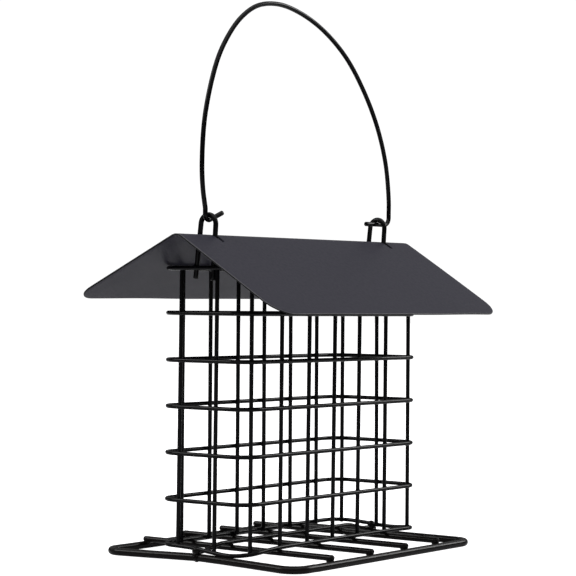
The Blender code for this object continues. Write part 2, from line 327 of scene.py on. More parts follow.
def mottle_group() -> bpy.types.NodeTree:
    """Shader group for slow patches where the coat is thicker, thinner or rubbed.

    Returns:
        A group that puts out a mask, 0.5 on average.
    """
    group, maker, given, made = new_group(
        "coat_mottle", "ShaderNodeTree",
        [("Patch Size", "NodeSocketFloat", 0.02), ("Contrast", "NodeSocketFloat", 1.0)],
        [("Mask", "NodeSocketFloat")])
    place = maker.add("ShaderNodeTexCoord").outputs["Object"]
    patches = maker.noise(given.outputs["Patch Size"], place, 4.0)
    centred = maker.math("SUBTRACT", patches, 0.5)
    mask = maker.math("MULTIPLY_ADD", centred, given.outputs["Contrast"], 0.5, clamp=True)
    maker.feed(made, "Mask", mask)
    return group


def dust_group() -> bpy.types.NodeTree:
    """Shader group for fine dust on what faces up; on the tray it also paints a highlight along the frame's
    top.

    Returns:
        A group that puts out the dust's mask: the facing and the specks are each stretched and cut off
        at 0 and 1, so that steep faces and most of a level one stay clean.
    """
    group, maker, given, made = new_group(
        "settled_dust_and_sheen", "ShaderNodeTree",
        [("Amount", "NodeSocketFloat", 0.2), ("Speck Size", "NodeSocketFloat", 0.0015)],
        [("Mask", "NodeSocketFloat")])
    facing_gain, facing_offset = 1.6, -0.6
    speck_gain, speck_offset = 3.0, -1.2
    coordinates = maker.add("ShaderNodeTexCoord")
    split = maker.add("ShaderNodeSeparateXYZ")
    maker.feed(split, "0", coordinates.outputs["Normal"])
    level = maker.math("MULTIPLY_ADD", split.outputs["Z"], facing_gain, facing_offset, clamp=True)
    specks = maker.noise(given.outputs["Speck Size"], coordinates.outputs["Object"], 3.0)
    sparse = maker.math("MULTIPLY_ADD", specks, speck_gain, speck_offset, clamp=True)
    dust = maker.math("MULTIPLY", maker.math("MULTIPLY", level, sparse), given.outputs["Amount"])
    maker.feed(made, "Mask", dust)
    return group


class Groups:
    """The shared node groups, each built once."""

    def __init__(self) -> None:
        """Build every shared group."""
        self.wire = wire_tree()
        self.beads = bead_tree()
        self.relief = relief_group()
        self.mottle = mottle_group()
        self.dust = dust_group()


@dataclass(frozen=True)
class PowderCoat:
    """A satin powder coat on steel."""

    name: str
    colour: Colour
    pale: Colour
    roughness: tuple[float, float] = (0.34, 0.46)
    peel_size: float = 0.0006
    ripple_size: float = 0.005
    ripple_share: float = 0.5
    bump: float = 0.10
    bump_height: float = 0.00006
    patch_size: float = 0.018
    patch_contrast: float = 2.2
    patch_share: float = 0.35
    dust: float = 0.12
    specular: float = 0.5

    def material(self, groups: Groups) -> bpy.types.Material:
        """Build the finish.

        Args:
            groups: The shared node groups.

        Returns:
            The material, under the finish's own name.
        """
        material = bpy.data.materials.new(self.name)
        material.use_nodes = True
        maker = TreeMaker(material.node_tree)
        shader = material.node_tree.nodes["Principled BSDF"]
        shader.inputs["Specular IOR Level"].default_value = self.specular
        mottle = maker.add("ShaderNodeGroup", {"node_tree": groups.mottle}, Patch_Size=self.patch_size,
                           Contrast=self.patch_contrast)
        dust = maker.add("ShaderNodeGroup", {"node_tree": groups.dust}, Amount=self.dust)
        share = maker.math("MULTIPLY_ADD", mottle.outputs[0], self.patch_share, dust.outputs[0], clamp=True)
        tint = maker.mix(MixKind.COLOURS, share, self.colour, self.pale)
        maker.feed(shader, "Base Color", self.accent(maker, tint))
        low, high = self.roughness
        rough = maker.math("MULTIPLY_ADD", mottle.outputs[0], high - low, low)
        maker.feed(shader, "Roughness", maker.math("ADD", rough, dust.outputs[0]))
        relief = maker.add("ShaderNodeGroup", {"node_tree": groups.relief}, Peel_Size=self.peel_size,
                           Ripple_Size=self.ripple_size, Ripple_Share=self.ripple_share)
        bump = maker.add("ShaderNodeBump", Strength=self.bump, Distance=self.bump_height,
                         Height=relief.outputs[0])
        maker.feed(shader, "Normal", bump.outputs[0])
        return material

    def accent(self, maker: TreeMaker, tint: bpy.types.NodeSocket) -> bpy.types.NodeSocket:
        """Colour with the finish's own marks; a plain coat has none."""
        return tint


@dataclass(frozen=True)
class SheetCoat(PowderCoat):
    """The roof's coat, with a painted highlight on the outer face's rounded rim and painted shade on the cut
    edge.
    """

    # Painted shade for the cut edge, then a painted highlight for the outer face's rounded rim.
    rim_colour: Colour = (0.004, 0.004, 0.005, 1.0)
    worn_colour: Colour = (0.100, 0.098, 0.105, 1.0)

    def accent(self, maker: TreeMaker, tint: bpy.types.NodeSocket) -> bpy.types.NodeSocket:
        """Paint a highlight on the rim's rounded bevel and shade on its cut edge, by two of the mesh's
        attributes.

        Args:
            maker: Adds the material's nodes.
            tint: The coat's own colour.

        Returns:
            The colour with the rim's painted highlight and painted shade.
        """
        # Paints the highlight on the rounded bevel, then the shade on the cut edge.
        for name, colour in (("bevel_highlight", self.worn_colour), ("rim", self.rim_colour)):
            mask = maker.add("ShaderNodeAttribute", {"attribute_name": name}).outputs["Fac"]
            tint = maker.mix(MixKind.COLOURS, mask, tint, colour)
        return tint


CAGE_COAT = PowderCoat("cage_coat", (0.0020, 0.0020, 0.0026, 1.0), (0.006, 0.0055, 0.0055, 1.0),
                       roughness=(0.14, 0.20), specular=0.10)
# The tray's brownish pale tint and stronger dust are partly real dust and partly a painted highlight along
# the frame's top.
TRAY_COAT = PowderCoat("tray_coat", (0.0020, 0.0018, 0.0020, 1.0), (0.014, 0.0105, 0.0085, 1.0),
                       roughness=(0.20, 0.28), dust=0.20, specular=0.13)
HANGER_COAT = PowderCoat("hanger_coat", (0.0020, 0.0020, 0.0025, 1.0), (0.006, 0.006, 0.006, 1.0),
                         roughness=(0.16, 0.22), specular=0.12)
ROOF_COAT = SheetCoat("roof_coat", (0.0210, 0.0200, 0.0310, 1.0), (0.031, 0.0295, 0.041, 1.0),
                      roughness=(0.42, 0.50), peel_size=0.0005, ripple_size=0.012, ripple_share=0.35,
                      patch_size=0.035, dust=0.10, specular=0.14)


# Pieces


@dataclass
class Piece:
    """One finished piece, the body it rides on, its finish's slot and the CAD nodes it stands for."""

    thing: bpy.types.Object
    body: Body
    slot: Slot
    nodes: tuple[str, ...] = ()

    def report(self) -> None:
        """Tell the frame about the piece and log it."""
        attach(self.thing, self.body.value)
        if self.nodes:
            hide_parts(*self.nodes)
        LOG.info("%s rides on %s, %d faces", self.thing.name, self.body.value, len(self.thing.data.polygons))


def link_mesh(name: str, mesh: bpy.types.Mesh) -> bpy.types.Object:
    """Put a mesh into the scene.

    Args:
        name: The new object's name.
        mesh: The mesh.

    Returns:
        The object, at the origin.
    """
    thing = bpy.data.objects.new(name, mesh)
    bpy.context.scene.collection.objects.link(thing)
    return thing


def bake(thing: bpy.types.Object, modifier: bpy.types.Modifier) -> None:
    """Keep what a modifier makes of an object as its plain mesh, and remove the modifier.

    Args:
        thing: The object.
        modifier: Its only modifier.
    """
    bpy.context.view_layer.update()
    depsgraph = bpy.context.evaluated_depsgraph_get()
    mesh = bpy.data.meshes.new_from_object(thing.evaluated_get(depsgraph), depsgraph=depsgraph)
    thing.modifiers.remove(modifier)
    thing.data = mesh
    mesh.name = thing.name


def grow(source: bpy.types.Object, tree: bpy.types.NodeTree, inputs: dict[str, object]) -> bpy.types.Object:
    """Run a Geometry Nodes tree on an object and keep its result as a plain mesh.

    Args:
        source: The object that holds the tree's path or points.
        tree: The tree.
        inputs: Values for the tree's inputs, by name.

    Returns:
        The same object, holding the plain mesh.
    """
    modifier = source.modifiers.new(tree.name, "NODES")
    modifier.node_group = tree
    ids = {item.name: item.identifier for item in tree.interface.items_tree
           if item.item_type == "SOCKET" and item.in_out == "INPUT"}
    for name, value in inputs.items():
        modifier[ids[name]] = value
    bake(source, modifier)
    return source


@dataclass
class WireMaker:
    """Bends coated wires out of paths of points."""

    groups: Groups
    pitch: float = 0.0012
    facets: int = 24
    ripple_depth: float = 0.00003
    ripple_length: float = 0.007
    made: int = 0

    def dense(self, path: Sequence[Vector], closed: bool) -> list[Vector]:
        """Add points along the straight stretches, so that a wire's coat can ripple there.

        Args:
            path: Points of a wire's centreline.
            closed: Whether the last point leads back to the first.

        Returns:
            The same line with its points no farther apart than about the pitch.
        """
        line = []
        legs = list(zip(path, list(path[1:]) + [path[0]])) if closed else list(zip(path, path[1:]))
        for start, end in legs:
            count = max(1, round((end - start).length / self.pitch))
            line += [start.lerp(end, k / count) for k in range(count)]
        return line if closed else line + [path[-1]]

    def wire(self, name: str, path: Sequence[Vector], diameter: float, coat: bpy.types.Material,
             end: WireEnd | None = WireEnd.CUT) -> bpy.types.Object:
        """Sweep one wire.

        Args:
            name: The piece's name.
            path: Points of its centreline.
            diameter: Thickness over the coat.
            coat: Its material.
            end: How both ends are finished, or None for a closed loop.

        Returns:
            The wire's object, with its place in its mesh.
        """
        points = self.dense(path, end is None)
        girths = [1.0] * len(points)
        if end is not None:
            radius = diameter / 2
            tail = (points[-1] - points[-2]).normalized()
            head = (points[0] - points[1]).normalized()
            before = [(points[0] + head * radius * a, w) for a, w in reversed(end.value)]
            after = [(points[-1] + tail * radius * a, w) for a, w in end.value]
            points = [p for p, _ in before] + points[1:-1] + [p for p, _ in after]
            girths = [w for _, w in before] + girths[1:-1] + [w for _, w in after]
        mesh = bpy.data.meshes.new(name)
        edges = [(k, k + 1) for k in range(len(points) - 1)]
        if end is None:
            edges.append((len(points) - 1, 0))
        mesh.from_pydata(points, edges, [])
        mesh.attributes.new("girth", "FLOAT", "POINT").data.foreach_set("value", girths)
        self.made += 1
        return grow(link_mesh(name, mesh), self.groups.wire, {
            "Diameter": diameter, "Facets": self.facets, "Ripple Depth": self.ripple_depth,
            "Ripple Length": self.ripple_length, "Seed": float(self.made), "Coat": coat})


@dataclass
class Bead:
    """A weld bead or a nib of the coat: where it is, which way it faces, and its half spans."""

    place: Vector
    facing: Vector
    along: Vector
    spans: Spans


def spread(size: float, shares: Spans) -> Spans:
    """A bead's half spans, as shares of a wire's thickness."""
    return size * shares[0], size * shares[1], size * shares[2]


def set_beads(name: str, beads: Sequence[Bead], groups: Groups, coat: bpy.types.Material,
              seed: float) -> bpy.types.Object:
    """Make all the beads of one sub-assembly.

    Args:
        name: The piece's name.
        beads: The beads.
        groups: The shared node groups.
        coat: Their material.
        seed: Picks their lumps.

    Returns:
        One object that holds every bead.
    """
    mesh = bpy.data.meshes.new(name)
    mesh.from_pydata([bead.place for bead in beads], [], [])
    for label in ("facing", "along", "spans"):
        flat = [number for bead in beads for number in getattr(bead, label)]
        mesh.attributes.new(label, "FLOAT_VECTOR", "POINT").data.foreach_set("vector", flat)
    return grow(link_mesh(name, mesh), groups.beads, {"Seed": seed, "Coat": coat})


def arc(centre: tuple[float, float], radius: float, start: float, finish: float,
        steps: int) -> list[tuple[float, float]]:
    """Points of an arc in a plane of two coordinates, both ends included."""
    turns = [start + (finish - start) * k / steps for k in range(steps + 1)]
    return [(centre[0] + radius * math.cos(t), centre[1] + radius * math.sin(t)) for t in turns]


def rounded_rectangle(length: float, width: float, corner: float, middle: Vector,
                      steps: int) -> list[Vector]:
    """Centreline of a level frame, anticlockwise from its +X side.

    Args:
        length: Its size along X.
        width: Its size along Y.
        corner: The corners' radius.
        middle: Its middle.
        steps: Legs in each corner's arc.

    Returns:
        The corners' points; the sides are the long legs between them.
    """
    points = []
    for quarter in range(4):
        side_x = 1 if quarter in (0, 3) else -1
        side_y = 1 if quarter < 2 else -1
        centre = (side_x * (length / 2 - corner), side_y * (width / 2 - corner))
        start = math.pi / 2 * quarter
        bend = arc(centre, corner, start, start + math.pi / 2, steps)
        points += [middle + Vector((x, y, 0)) for x, y in bend]
    return points


def smooth_curve(points: Sequence[Vector], steps: int) -> list[Vector]:
    """Lay a smooth curve through points: a centripetal Catmull-Rom spline.

    Args:
        points: The points it passes.
        steps: Legs between one point and the next.

    Returns:
        Points of the curve, both ends included.
    """
    chain = [points[0] * 2 - points[1]] + list(points) + [points[-1] * 2 - points[-2]]
    curve = [points[0]]
    for a, b, c, d in zip(chain, chain[1:], chain[2:], chain[3:]):
        t0 = 0.0
        t1 = t0 + math.sqrt((b - a).length)
        t2 = t1 + math.sqrt((c - b).length)
        t3 = t2 + math.sqrt((d - c).length)
        for k in range(1, steps + 1):
            t = t1 + (t2 - t1) * k / steps
            ab = a.lerp(b, (t - t0) / (t1 - t0))
            bc = b.lerp(c, (t - t1) / (t2 - t1))
            cd = c.lerp(d, (t - t2) / (t3 - t2))
            abc = ab.lerp(bc, (t - t0) / (t2 - t0))
            bcd = bc.lerp(cd, (t - t1) / (t3 - t1))
            curve.append(abc.lerp(bcd, (t - t1) / (t2 - t1)))
    return curve


# Sub-assemblies


class SubAssembly(ABC):
    """A group of pieces that are made and dressed together."""

    @abstractmethod
    def build(self, wires: WireMaker) -> list[Piece]:
        """Make and dress the pieces.

        Args:
            wires: Bends the wires and holds the shared node groups.

        Returns:
            The finished pieces.
        """


@dataclass
class Cage(SubAssembly):
    """Level rings with uprights welded inside them.

    The uprights' places are shares of their side. Leans, tilts and sags are how the wires stray: how far each
    upright is moved at its top and its foot, how far each ring rises at its left and its right, and where the
    lowest ring is bent down (x, y, depth, reach along X, reach along Y). Wires are thicker over their coat.
    """

    x: float = 0.0016
    y: float = 0.0022
    wire: float = 0.0016
    length: float = 0.1313
    width: float = 0.0484
    corner: float = 0.0090
    ring_pitch: float = 0.0200
    ring_count: int = 7
    bottom_z: float = 0.0067472
    front: tuple[float, ...] = (-0.453, -0.296, -0.146, 0.001, 0.146, 0.307, 0.470)
    back: tuple[float, ...] = (-0.406, -0.254, -0.102, 0.044, 0.198, 0.355)
    left: tuple[float, ...] = (-0.131, 0.279)
    right: tuple[float, ...] = (-0.019, 0.383)
    coated: float = 0.00187
    leans: tuple[tuple[str, float, float], ...] = (
        ("front_upright_1", 0.00045, 0.00037), ("front_upright_2", 0.00045, -0.00022),
        ("front_upright_3", 0.00080, -0.00030), ("front_upright_4", 0.00068, -0.00060),
        ("front_upright_5", 0.00060, -0.00045), ("front_upright_6", 0.00030, -0.00008),
        ("front_upright_7", 0.00045, 0.00080),
        ("back_upright_1", 0.00120, 0.00110), ("back_upright_2", 0.00038, 0.00038),
        ("back_upright_3", 0.00023, 0.00038), ("back_upright_4", 0.00038, 0.00075),
        ("back_upright_5", 0.00030, 0.00085), ("back_upright_6", 0.00038, 0.00085),
        ("left_upright_1", -0.00017, 0.00050), ("left_upright_2", -0.00020, 0.00095),
        ("right_upright_1", 0.00000, -0.00075), ("right_upright_2", -0.00017, -0.00028))
    tilts: tuple[tuple[float, float], ...] = (
        (0.0, 0.0), (-0.0004, -0.0006), (-0.0002, -0.00055), (0.0, -0.0005),
        (0.00015, -0.00033), (0.0006, -0.0001), (0.0, 0.0))
    sags: tuple[tuple[float, ...], ...] = (
        (-0.0640, -0.0130, 0.0021, 0.016, 0.015), (0.0668, -0.0060, 0.0014, 0.014, 0.015))
    bead: Spans = (0.68, 0.62, 0.36)

    @property
    def top_z(self) -> float:
        """Height of the top ring's centreline."""
        return self.bottom_z + self.ring_pitch * (self.ring_count - 1)

    def inside(self, share: float, length: float, width: float) -> tuple[float, float, float, float]:
        """Where an upright touches the ring.

        Args:
            share: Its place along the side, as a share of the side.
            length: The side's length.
            width: The cage's size across that side.

        Returns:
            (along the side, out from the middle, and the outward direction's two parts).
        """
        along = share * length
        corner = self.corner - self.wire - SEAT
        over = max(0.0, abs(along) - (length / 2 - self.corner))
        rise = math.sqrt(corner ** 2 - over ** 2)
        lean = math.copysign(over / corner, along)
        return along, width / 2 - self.corner + rise, lean, rise / corner

    def uprights(self) -> list[tuple[str, Vector, Vector]]:
        """Find every upright's place.

        Returns:
            (node name, place on the level, outward direction) of each.
        """
        found = []
        for side, shares, sign in (("front", self.front, -1), ("back", self.back, 1)):
            for i, share in enumerate(shares):
                x, y, nx, ny = self.inside(share, self.length, self.width)
                place = Vector((self.x + x, self.y + sign * y, 0))
                found.append((f"{side}_upright_{i + 1}", place, Vector((nx, sign * ny, 0))))
        for side, shares, sign in (("left", self.left, -1), ("right", self.right, 1)):
            for i, share in enumerate(shares):
                y, x, ny, nx = self.inside(share, self.width, self.length)
                place = Vector((self.x + sign * x, self.y + y, 0))
                found.append((f"{side}_upright_{i + 1}", place, Vector((sign * nx, ny, 0))))
        return found

    def level(self, ring: int, place: Vector) -> float:
        """Height of a ring's wire over a place.

        Args:
            ring: The ring's number, lowest first and from 0.
            place: A point of the ring.

        Returns:
            The height: every ring tilts a little, and the lowest is bent down at its gable wires.
        """
        left, right = self.tilts[ring]
        share = (place.x - self.x) / self.length + 0.5
        sag = 0.0
        if ring == 0:
            sag = sum(depth * math.exp(-((place.x - x) / reach_x) ** 2 - ((place.y - y) / reach_y) ** 2)
                      for x, y, depth, reach_x, reach_y in self.sags)
        return self.bottom_z + self.ring_pitch * ring + left + (right - left) * share - sag

    def spot(self, node: str, place: Vector, z: float) -> Vector:
        """Where an upright's centreline is at a height, as each leans along its side of the cage.

        Args:
            node: The upright's node.
            place: Its place on the level.
            z: The height.

        Returns:
            The point.
        """
        share = (self.top_z - z) / (self.top_z - self.bottom_z)
        along = ALONG_Y if node.startswith(("left", "right")) else ALONG_X
        slide = sum(top + (low - top) * share for name, top, low in self.leans if name == node)
        return Vector((place.x, place.y, z)) + along * slide

    def welds(self) -> list[Bead]:
        """Weld the uprights.

        Returns:
            A bead where each upright touches each ring.
        """
        reach = self.wire / 2 + SEAT / 2
        beads = []
        for node, place, outward in self.uprights():
            for i in range(self.ring_count):
                weld = self.spot(node, place, self.level(i, place))
                beads.append(Bead(weld + outward * reach, outward, UP, spread(self.wire, self.bead)))
        return beads

    def build(self, wires: WireMaker) -> list[Piece]:
        """Bend the rings, set the uprights and weld them.

        Args:
            wires: Bends the wires and holds the shared node groups.

        Returns:
            The rings, the uprights and the beads.
        """
        coat = CAGE_COAT.material(wires.groups)
        middle = Vector((self.x, self.y, 0))
        loop = wires.dense(rounded_rectangle(self.length, self.width, self.corner, middle, steps=14), True)
        pieces = []
        for i in range(self.ring_count):
            path = [Vector((point.x, point.y, self.level(i, point))) for point in loop]
            ring = wires.wire(f"cage_ring_{i + 1}_wire", path, self.coated, coat, None)
            pieces.append(Piece(ring, Body.FEEDER, Slot.CAGE, (f"cage_ring_{i + 1}",)))
        end = self.coated / 2 * WireEnd.CUT.value[-1][0]
        for node, place, _ in self.uprights():
            low = self.level(0, place) - self.wire / 2 + end
            ends = [self.spot(node, place, low), self.spot(node, place, self.top_z + self.wire / 2 - end)]
            rod = wires.wire(f"{node}_wire", ends, self.coated, coat)
            pieces.append(Piece(rod, Body.FEEDER, Slot.CAGE, (node,)))
        beads = set_beads("cage_weld_beads", self.welds(), wires.groups, coat, 1.0)
        pieces.append(Piece(beads, Body.FEEDER, Slot.CAGE))
        return pieces


@dataclass
class Tray(SubAssembly):
    """A frame of thick wire, four rods across it and one thin bar along it.

    The rods' places are shares of the tray's length. A bead's half spans are shares of the wire that it
    holds, and the nibs on the frame's front and left wires are (place along the wire, how far out, size).
    """

    cage: Cage
    x: float = 0.0002
    y: float = 0.0018
    wire: float = 0.0031
    length: float = 0.1346
    width: float = 0.1065
    corner: float = 0.0080
    pinch_in: float = 0.0040
    pinch_up: float = 0.0003
    rod_wire: float = 0.0023
    rods: tuple[float, ...] = (-0.302, -0.091, 0.107, 0.297)
    coated: float = 0.0034
    gable_rise: float = 0.00042
    gable_rise_x: float = -0.05384
    gable_rise_y: float = -0.0040
    gable_rise_reach: float = 0.038
    rod_coated: float = 0.00265
    front_tips: tuple[float, ...] = (-0.0510, -0.0517, -0.0516, -0.0513)
    back_tips: tuple[float, ...] = (0.0550, 0.0556, 0.0554, 0.0552)
    bar_wire: float = 0.0020
    bar_coated: float = 0.00195
    bar_aside: float = 0.0016
    bar_droop: float = math.radians(50)
    dip_start: float = 0.0460
    dip_end: float = 0.0620
    frame_z: float = 0.0014972
    rod_end_bead: Spans = (0.48, 0.72, 0.66)
    rod_end_in: float = 0.72
    rod_end_down: float = 0.36
    crossing_bead: Spans = (0.60, 0.60, 0.34)
    ring_bead: Spans = (0.95, 0.85, 1.05)
    joint_bead: Spans = (0.62, 0.68, 0.34)
    joint_tip: float = 0.62
    heel_out: float = 0.36
    heel_down: float = 0.14
    heel_spans: Spans = (0.0014, 0.0011, 0.0005)
    slant: tuple[float, float] = (0.8, 0.6)
    nib_height: float = 0.44
    nib_bead: Spans = (1.0, 1.3, 0.7)
    front_nibs: tuple[tuple[float, float, float], ...] = (
        (-0.0040, 0.0, 0.0006), (-0.0022, 0.0004, 0.0008), (-0.0006, 0.0, 0.0005))
    left_nibs: tuple[tuple[float, float, float], ...] = (
        (0.0064, 0.0006, 0.0007), (0.0075, 0.0007, 0.0005))

    @property
    def rod_z(self) -> float:
        """Height of the rods' centrelines."""
        return self.frame_z + self.wire / 2 + SEAT + self.rod_wire / 2

    @property
    def bar_z(self) -> float:
        """Height of the bar's middle."""
        return self.rod_z + self.rod_wire / 2 + SEAT + self.bar_wire / 2

    @property
    def bar_y(self) -> float:
        """The bar's place beside the cage's right upright."""
        cage = self.cage
        return cage.y + cage.width * cage.right[0] + cage.wire / 2 + self.bar_aside + self.bar_wire / 2

    def rod_places(self) -> list[float]:
        """Where the rods lie along X."""
        return [self.x + self.length * share for share in self.rods]

    def frame_path(self) -> list[Vector]:
        """Draw the frame.

        Returns:
            Its centreline, pinched in and up where the bar ends on its left side.
        """
        middle = Vector((self.x, self.y, self.frame_z))
        path = rounded_rectangle(self.length, self.width, self.corner, middle, steps=14)
        pinch = Vector((self.x - self.length / 2 + self.pinch_in, self.bar_y, self.frame_z + self.pinch_up))
        path.insert(len(path) // 2, pinch)
        return path

    def lifted(self, point: Vector) -> Vector:
        """Stand the frame on its coat, and bend its left side up a little.

        Args:
            point: A point of the frame's path.

        Returns:
            The point in its final place.
        """
        bent = 0.0
        if point.x < self.gable_rise_x:
            bent = self.gable_rise * math.exp(-((point.y - self.gable_rise_y) / self.gable_rise_reach) ** 2)
        return point + UP * (self.coated / 2 - self.frame_z + bent)

    def rod_path(self, x: float, front: float, back: float) -> list[Vector]:
        """A straight rod across the tray, whose blunt ends reach the given places."""
        inset = self.rod_coated / 2 * WireEnd.BLUNT.value[-1][0]
        return [Vector((x, front + inset, self.rod_z)), Vector((x, back - inset, self.rod_z))]

    def bar_half(self, frame_x: float, frame_z: float) -> list[tuple[float, float]]:
        """One half of the bar: it dips under the bottom ring and ends on the frame.

        Args:
            frame_x: Distance of the frame's centreline from the tray's middle.
            frame_z: Height of the frame's centreline there.

        Returns:
            (distance from the middle, height) of its points, outward from the rods.
        """
        steps = 16
        reach = self.wire / 2 + SEAT + self.bar_wire / 2
        low = frame_z + reach
        points = []
        for k in range(steps + 1):
            share = k / steps
            fall = (1 - math.cos(math.pi * share)) / 2
            x = self.dip_start + (self.dip_end - self.dip_start) * share
            points.append((x, self.bar_z + (low - self.bar_z) * fall))
        up = math.pi / 2
        return points + arc((frame_x, frame_z), reach, up, up - self.bar_droop, steps=12)

    def bar_path(self) -> list[Vector]:
        """Draw the whole bar.

        Returns:
            Its centreline, from left to right.
        """
        left = self.bar_half(self.length / 2 - self.pinch_in, self.frame_z + self.pinch_up)
        right = self.bar_half(self.length / 2, self.frame_z)
        path = [Vector((self.x - x, self.bar_y, z)) for x, z in reversed(left)]
        return path + [Vector((self.x + x, self.bar_y, z)) for x, z in right]

    def rod_welds(self) -> list[Bead]:
        """Weld the rods.

        Returns:
            For each rod, its ends turned down on the frame, and beads where the ring and the bar cross it.
        """
        on_rod = self.rod_z + self.rod_wire / 2 + SEAT / 2
        low = self.rod_z - self.rod_coated * self.rod_end_down
        inward = self.rod_coated * self.rod_end_in
        turned = spread(self.rod_coated, self.rod_end_bead)
        thin = spread(self.bar_wire, self.crossing_bead)
        beads = []
        for x, front, back in zip(self.rod_places(), self.front_tips, self.back_tips):
            for side, tip in ((-1, front), (1, back)):
                beads.append(Bead(Vector((x, tip - side * inward, low)), UP, ALONG_X, turned))
                crossing = Vector((x, self.cage.y + side * self.cage.width / 2, on_rod))
                beads.append(Bead(crossing, UP, ALONG_X, thin))
            beads.append(Bead(Vector((x, self.bar_y, on_rod)), UP, ALONG_X, thin))
        return beads

    def bar_welds(self) -> list[Bead]:
        """Weld the bar.

        Returns:
            For each of its ends, the knot under the bottom ring and three beads round the frame.
        """
        on_frame = self.frame_z + self.wire / 2 + SEAT / 2
        over_bar = self.frame_z + self.wire / 2 + SEAT + self.bar_wire
        under_ring = (over_bar + self.cage.bottom_z - self.cage.wire) / 2
        knot = spread(self.bar_wire, self.ring_bead)
        wide = spread(self.rod_wire, self.joint_bead)
        beads = []
        for side, pinch, up in ((-1, self.pinch_in, self.pinch_up), (1, 0.0, 0.0)):
            out = ALONG_X * side
            ring_x = self.cage.x + side * self.cage.length / 2
            rim = Vector((self.x + side * (self.length / 2 - pinch), self.bar_y, self.frame_z + up))
            end = out * math.sin(self.bar_droop) + UP * math.cos(self.bar_droop)
            heel = out * self.heel_out - UP * self.heel_down
            outward, upward = out * self.slant[0], UP * self.slant[1]
            beads += [Bead(Vector((ring_x, self.bar_y, under_ring)), UP, ALONG_Y, knot),
                      Bead(Vector((rim.x, self.bar_y, on_frame)), UP, ALONG_Y, wide),
                      Bead(rim + end * self.wire * self.joint_tip, outward + upward, ALONG_Y, wide),
                      Bead(rim + heel * self.wire, outward - upward, ALONG_Y, self.heel_spans)]
        return beads

    def nibs(self) -> list[Bead]:
        """Drop the coat's lumps and spatter on the frame.

        Returns:
            The nibs of the front wire and the left one.
        """
        top = self.frame_z + self.wire * self.nib_height
        front = self.y - self.width / 2
        left = self.x - self.length / 2 + self.pinch_in
        spots = [(Vector((x, front - out, top)), size) for x, out, size in self.front_nibs]
        spots += [(Vector((left - out, self.bar_y + y, top)), size) for y, out, size in self.left_nibs]
        return [Bead(place, UP, ALONG_X, spread(size, self.nib_bead)) for place, size in spots]

    def build(self, wires: WireMaker) -> list[Piece]:
        """Bend the frame, lay the rods and the bar, and weld them.

        Args:
            wires: Bends the wires and holds the shared node groups.

        Returns:
            The frame, the rods, the bar and the beads.
        """
        coat = TRAY_COAT.material(wires.groups)
        path = [self.lifted(point) for point in wires.dense(self.frame_path(), True)]
        rim = wires.wire("tray_frame_wire", path, self.coated, coat, None)
        pieces = [Piece(rim, Body.FEEDER, Slot.TRAY, ("tray_frame",))]
        for i, (x, front, back) in enumerate(zip(self.rod_places(), self.front_tips, self.back_tips)):
            rod = wires.wire(f"tray_rod_{i + 1}_wire", self.rod_path(x, front, back), self.rod_coated, coat,
                             WireEnd.BLUNT)
            pieces.append(Piece(rod, Body.FEEDER, Slot.TRAY, (f"tray_rod_{i + 1}",)))
        bar = wires.wire("tray_bar_wire", self.bar_path(), self.bar_coated, coat, WireEnd.DOMED)
        pieces.append(Piece(bar, Body.FEEDER, Slot.TRAY, ("tray_bar",)))
        welds = self.rod_welds() + self.bar_welds() + self.nibs()
        beads = set_beads("tray_weld_beads", welds, wires.groups, coat, 2.0)
        pieces.append(Piece(beads, Body.FEEDER, Slot.TRAY))
        return pieces


